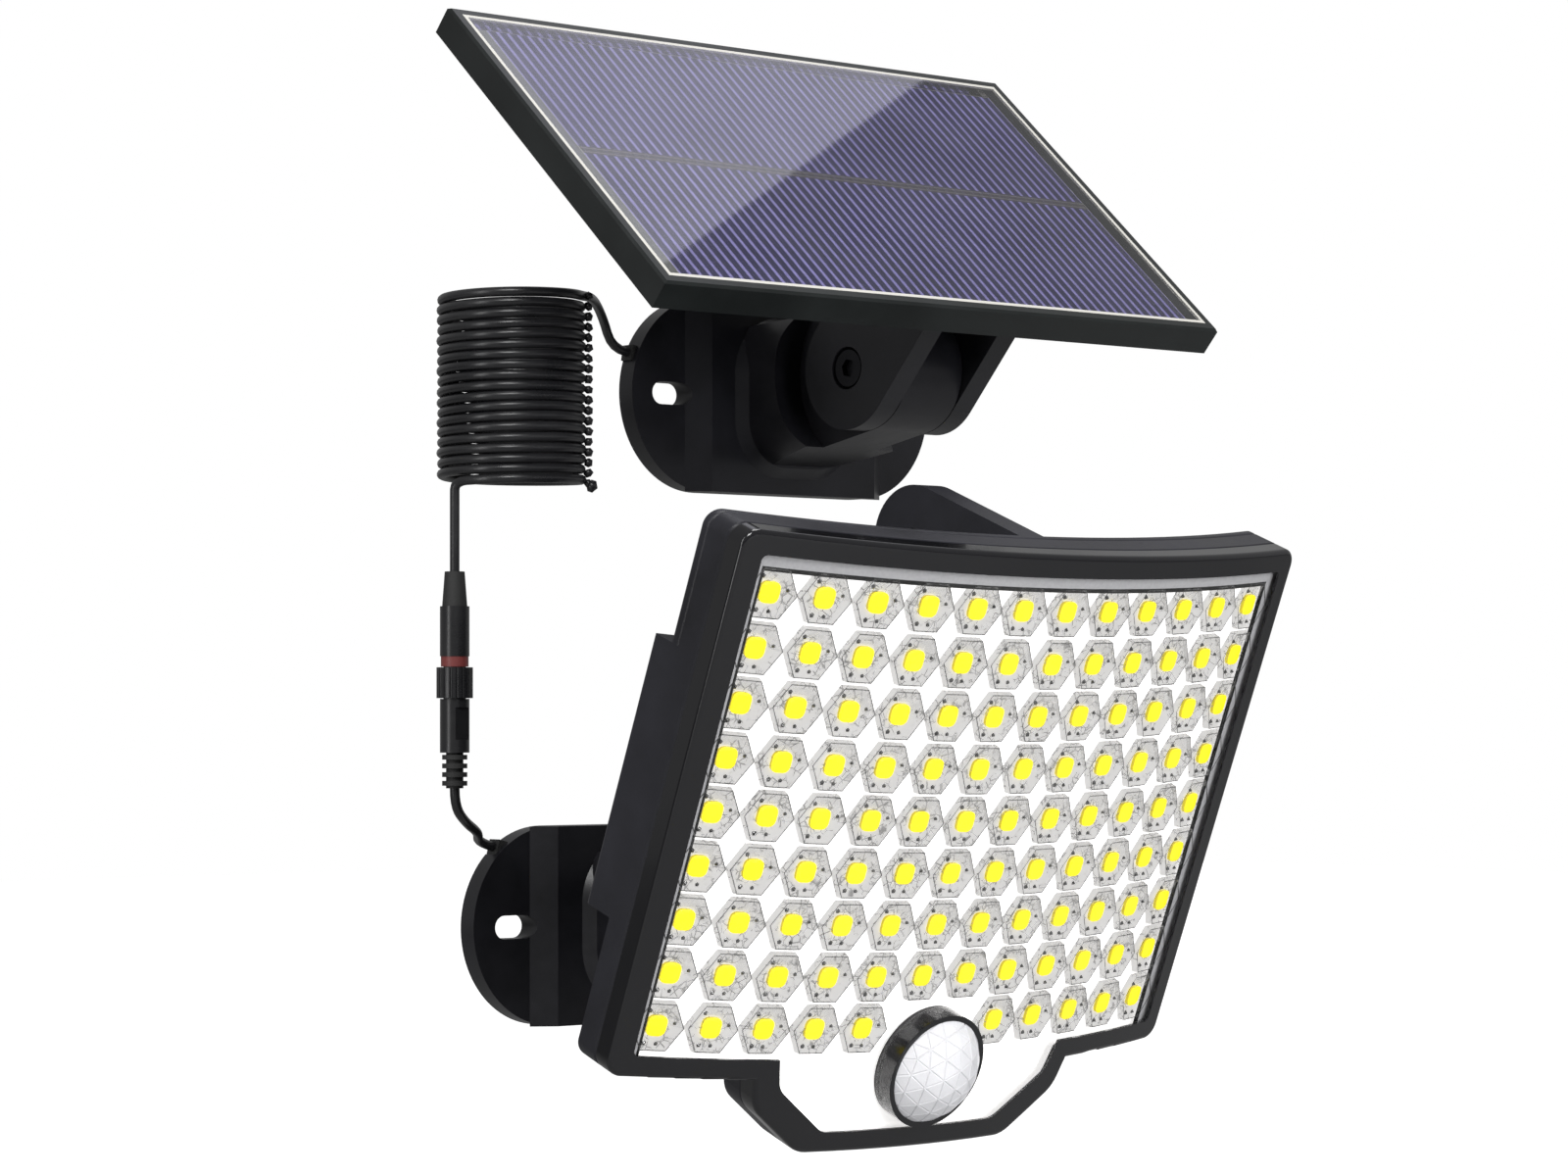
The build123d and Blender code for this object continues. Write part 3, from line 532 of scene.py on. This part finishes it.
for cord in (panel_cord, lamp_cord):
    cord.data.materials.append(finishes["cord_jacket"])
print("finishes done")


# ---------------------------------------------------------------- lens cells and LEDs
def cell_places(offset):
    """Where each of the lamp's cells sits: nine rows of twelve, less two behind the sensor."""
    places = []
    for row in range(led_rows):
        for number in range(led_columns):
            behind_sensor = row == led_rows - 1 and number in (5, 6)
            if not behind_sensor:
                arc = (number - (led_columns - 1) / 2) * led_pitch_x
                z = led_grid_z + ((led_rows - 1) / 2 - row) * led_pitch_z
                places.append(on_arc(arc, z, offset))
    return places


def lens_cell():
    """A hexagonal lens cell: drafted sides, facets and small moulding dimples; the upper-right facets are
    painted grey and the thin rim and the dimples painted dark, as shade.
    """
    bpy.ops.mesh.primitive_circle_add(vertices=6, radius=cell_radius, fill_type="NGON",
                                      rotation=(radians(90), radians(30), 0))
    cell = bpy.context.object
    bpy.ops.object.transform_apply(rotation=True)
    start(cell, "lens_cells")
    bpy.ops.mesh.select_all(action="SELECT")
    bpy.ops.mesh.extrude_region_move(TRANSFORM_OT_translate={"value": (0, -cell_height, 0)})
    bpy.ops.transform.resize(value=(0.96, 1, 0.96), center_override=(0, -cell_height, 0),
                             orient_type="GLOBAL")
    bpy.ops.mesh.inset(thickness=0.26 * MM, depth=0)
    bpy.ops.mesh.inset(thickness=1.9 * MM, depth=-0.75 * MM)
    bpy.ops.mesh.inset(thickness=0.5 * MM, depth=-0.25 * MM)
    settle(cell)
    for finish in (clear_cell, painted_shade_facet, painted_shade_dark):
        cell.data.materials.append(finish)
    bpy.ops.object.mode_set(mode="EDIT")
    bpy.ops.mesh.select_all(action="SELECT")
    bpy.ops.mesh.normals_make_consistent(inside=False)
    bpy.ops.object.mode_set(mode="OBJECT")
    for face in cell.data.polygons:
        across, depth, height = face.center / MM
        from_middle = sqrt(across ** 2 + height ** 2)
        # the rim faces take the dark painted shade
        if from_middle > 5.3 and depth < -1.0:
            face.material_index = 2
        # the upper-right facets take the grey painted shade
        elif from_middle > 2.8 and height > -0.5 and across > -1.0:
            face.material_index = 1
    parts = [cell]
    for across, height, size in ((-2.6, 3.6, 0.62), (-2.3, -4.0, 0.66), (0.7, -4.1, 0.55), (4.1, 0.9, 0.5)):
        bpy.ops.mesh.primitive_cone_add(vertices=5, radius1=size * MM, radius2=0.1 * MM, depth=0.6 * MM,
                                        location=(across * MM, -1.25 * MM, height * MM),
                                        rotation=(radians(90), 0, 0))
        dimple = bpy.context.object
        # the dimples take the dark painted shade too
        dimple.data.materials.append(painted_shade_dark)
        parts.append(dimple)
    only(*parts)
    bpy.ops.object.transform_apply(location=True, rotation=True, scale=True)
    bpy.ops.object.join()
    return bpy.context.object


# The lens plastic is clear: the grey and dark shown by these finishes are painted shade.
clear_cell = cell_glass("cell_clear", (0.10, 0.10, 0.10, 1), (0.40, 0.40, 0.41, 1), 0.02, 0.60)
painted_shade_facet = cell_glass("cell_painted_shade_facet", (0.10, 0.10, 0.10, 1), (0.50, 0.49, 0.48, 1), 0.20, 0.50)
painted_shade_dark = cell_glass("cell_painted_shade_dark", (0.02, 0.02, 0.02, 1), (0.08, 0.08, 0.08, 1), 0.60, 0.3)
cells = copies(lens_cell(), "lens_cells", cell_places(board_front))
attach(cells, "lamp")


def led_chip():
    """A square LED with well-rounded corners and a slightly domed phosphor face."""
    bpy.ops.mesh.primitive_cube_add(size=1, location=(0, -chip_height / 2, 0),
                                    scale=(chip_size, chip_height, chip_size))
    chip = bpy.context.object
    bpy.ops.object.transform_apply(location=True, rotation=True, scale=True)
    start(chip, "led_chips")
    pick(chip, lambda edge: abs(edge.verts[0].co.y - edge.verts[1].co.y) > 0.5 * MM, "edges")
    bpy.ops.mesh.bevel(offset=1.5 * MM, segments=3)
    pick(chip, lambda face: face.normal.y < -0.9)
    bpy.ops.mesh.inset(thickness=0.45 * MM, depth=0.14 * MM)
    settle(chip)
    chip.data.materials.append(finishes["led_phosphor"])
    return chip


chips = copies(led_chip(), "led_chips", cell_places(board_front))
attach(chips, "lamp")
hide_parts("leds")


# ---------------------------------------------------------------- motion sensor dome
# Painted shade: the grooves of the sensor dome are coloured grey for the shade that falls in them.
groove_painted_shade = moulded("pir_groove_painted_shade", (0.13, 0.13, 0.14, 1), (0.20, 0.20, 0.21, 1), 0.5, 0.4)


def sensor_dome():
    """A cap of honeycomb lenslets parted by fine grooves."""
    middle_y = pir_ring_front + sqrt(pir_dome_radius ** 2 - pir_radius ** 2)
    bpy.ops.mesh.primitive_ico_sphere_add(subdivisions=3, radius=pir_dome_radius - 0.15 * MM,
                                          location=(0, middle_y, pir_z),
                                          rotation=(radians(35), radians(20), 0))
    dome = bpy.context.object
    bpy.ops.object.transform_apply(location=True, rotation=True, scale=True)
    start(dome, "sensor_dome")
    bpy.ops.mesh.select_all(action="SELECT")
    bpy.ops.mesh.bevel(offset=34, offset_type="PERCENT", affect="VERTICES")
    bpy.ops.mesh.select_all(action="SELECT")
    bpy.ops.mesh.inset(thickness=0.22 * MM, depth=0.22 * MM, use_individual=True)
    settle(dome)
    bpy.ops.object.mode_set(mode="EDIT")
    bpy.ops.mesh.select_all(action="SELECT")
    bpy.ops.mesh.bisect(plane_co=(0, pir_ring_front + 1.5 * MM, pir_z), plane_no=(0, -1, 0),
                        clear_inner=True, use_fill=True)
    settle(dome, lamp_matrix)
    dome.data.materials.append(finishes["pir_white"])
    dome.data.materials.append(groove_painted_shade)
    # the small groove faces take the grey painted shade
    for face in dome.data.polygons:
        face.material_index = int(face.area < 0.9 * MM * MM)
    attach(dome, "lamp")
    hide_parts("pir_dome")


sensor_dome()


def tie_beads():
    """The tie that holds the turns together: one small knot on each turn and a knob below."""
    around = Vector((cos(coil_start_angle), sin(coil_start_angle), 0))
    edge = coil_centre + around * (coil_outer + 0.1 * MM)
    turn_heights = [coil_top - turn * (coil_top - coil_low) / whole_turns for turn in range(whole_turns + 1)]
    knots = [Vector((edge.x, edge.y, height)) for height in turn_heights]
    below = coil_centre + around * (coil_outer + 0.9 * MM)
    knots.append(Vector((below.x, below.y, coil_low - 0.6 * MM)))
    beads = []
    for index, place in enumerate(knots):
        big = index == len(knots) - 1
        bpy.ops.mesh.primitive_ico_sphere_add(
            subdivisions=1, radius=knob_radius if big else knot_radius, location=place,
            rotation=(index * 0.7, index * 1.1, 0), scale=(1, 1, 0.85))
        beads.append(bpy.context.object)
    only(*beads)
    bpy.ops.object.transform_apply(location=True, rotation=True, scale=True)
    bpy.ops.object.join()
    tie = bpy.context.object
    tie.name = "tie_knots"
    tie.data.name = "tie_knots"
    smooth(tie, 60)
    tie.data.materials.append(finishes[slots["coil_tie"]])
    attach(tie, "root")
    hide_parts("coil_tie")


tie_beads()
print("pieces done")


# ---------------------------------------------------------------- light and surroundings
def area_light(name, place, aim, size, power, colour=(1, 1, 1), height=None, glossy=True):
    data = bpy.data.lights.new(name, "AREA")
    data.shape = "RECTANGLE"
    data.size = size
    data.size_y = height or size
    data.energy = power
    data.color = colour
    light = bpy.data.objects.new(name, data)
    bpy.context.collection.objects.link(light)
    light.location = place
    light.visible_glossy = glossy
    light.rotation_euler = (Vector(aim) - Vector(place)).to_track_quat("-Z", "Y").to_euler()
    return light


middle_point = (0.0, -0.07, 0.08)
area_light("key", (-0.9, -0.9, 1.0), middle_point, 0.5, 14)
area_light("left_strip", (-1.3, -0.1, 0.3), middle_point, 0.25, 6, height=1.2)
area_light("front_fill", (0.1, -1.5, 0.2), middle_point, 1.0, 24, glossy=False)
area_light("top", (0.1, -0.2, 1.3), middle_point, 0.6, 8)
world = bpy.data.worlds.new("studio")
bpy.context.scene.world = world
world.use_nodes = True
studio = world.node_tree
background = studio.nodes["Background"]
background.inputs["Strength"].default_value = 1.0
ray = studio.nodes.new("ShaderNodeLightPath")
brightness = studio.nodes.new("ShaderNodeMix")
brightness.data_type = "RGBA"
brightness.inputs[6].default_value = (0.40, 0.40, 0.40, 1)
brightness.inputs[7].default_value = (1, 1, 1, 1)
studio.links.new(ray.outputs["Is Camera Ray"], brightness.inputs[0])
studio.links.new(brightness.outputs[2], background.inputs["Color"])


def sheen_card():
    """A softbox that only the panel's glass shows, over the half above its diagonal."""
    normal = panel_matrix.to_3x3() @ Vector((0, 0, 1))
    mirrored = camera.location - 2 * (camera.location - panel_centre).dot(normal) * normal
    turn = Matrix.Rotation(radians(32.7), 4, "Z")
    near = panel_matrix @ turn @ Vector((0, 0.158, 0))
    far = near + (near - mirrored) * 0.8
    bpy.ops.mesh.primitive_plane_add(size=1)
    card = bpy.context.object
    card.name = "sheen_card"
    card.matrix_world = (Matrix.Translation(far - panel_centre) @ panel_matrix @ turn
                         @ Matrix.Diagonal((0.65, 0.54, 1, 1)))
    finish = Surface("softbox", Base_Color=(0, 0, 0, 1), Emission_Color=(0.92, 0.92, 1.0, 1),
                     Emission_Strength=1.5)
    card.data.materials.append(finish.material)
    card.visible_camera = card.visible_diffuse = card.visible_shadow = False


sheen_card()
bpy.context.scene.view_settings.view_transform = "Standard"

only(cells)
bpy.ops.mesh.primitive_plane_add(size=14, location=(0, 0, -0.30))
floor = bpy.context.object
floor.name = "floor"
floor_finish = Surface("pale_floor", Roughness=0.8, Emission_Strength=1.0)
floor_ray = floor_finish.node("ShaderNodeLightPath")
floor_finish.drive(
    Base_Color=floor_finish.blend(
        floor_finish.spread(floor_finish.noise(3.0), 0.3, 0.7), (0.30, 0.30, 0.30, 1), (0.34, 0.34, 0.34, 1)),
    Emission_Color=floor_finish.blend(floor_ray, (0, 0, 0, 1), (1, 1, 1, 1)))
floor.data.materials.append(floor_finish.material)
bpy.context.view_layer.update()
